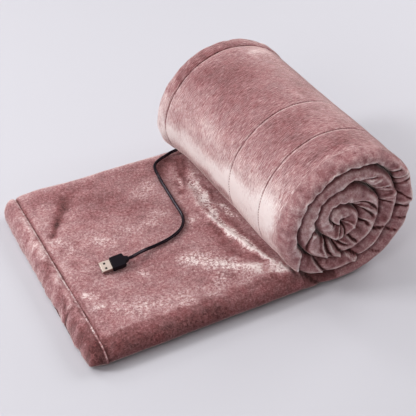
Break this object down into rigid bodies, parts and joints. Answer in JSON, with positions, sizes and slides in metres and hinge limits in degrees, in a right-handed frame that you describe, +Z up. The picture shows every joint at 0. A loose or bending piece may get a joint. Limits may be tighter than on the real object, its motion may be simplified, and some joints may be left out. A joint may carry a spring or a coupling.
{
  "type": "electric heated blanket, partly rolled up",
  "caption": "Plush electric heated blanket, folded lengthwise and rolled up from one end, with a flat tail and a short power lead lying on it.",
  "frame": {"origin": "on the floor under the middle of the cloth's box, the lead left out", "axes": "+X along the folded strip, from the tail's hemmed end to the roll; +Y along the roll's axis, to the hemmed side; +Z up"},
  "size_m": [0.3764, 0.2746, 0.1613],
  "materials": {
    "plush": "soft brushed pile",
    "cord_jacket": "satin",
    "plug_plastic": "fine matt",
    "plug_metal": "nickel plated"
  },
  "bodies": {
    "root": {"blanket": "plush", "cord": "cord_jacket", "plug_body": "plug_plastic", "plug_shell": "plug_metal", "plug_tongue": "plug_plastic"}
  },
  "joints": []
}
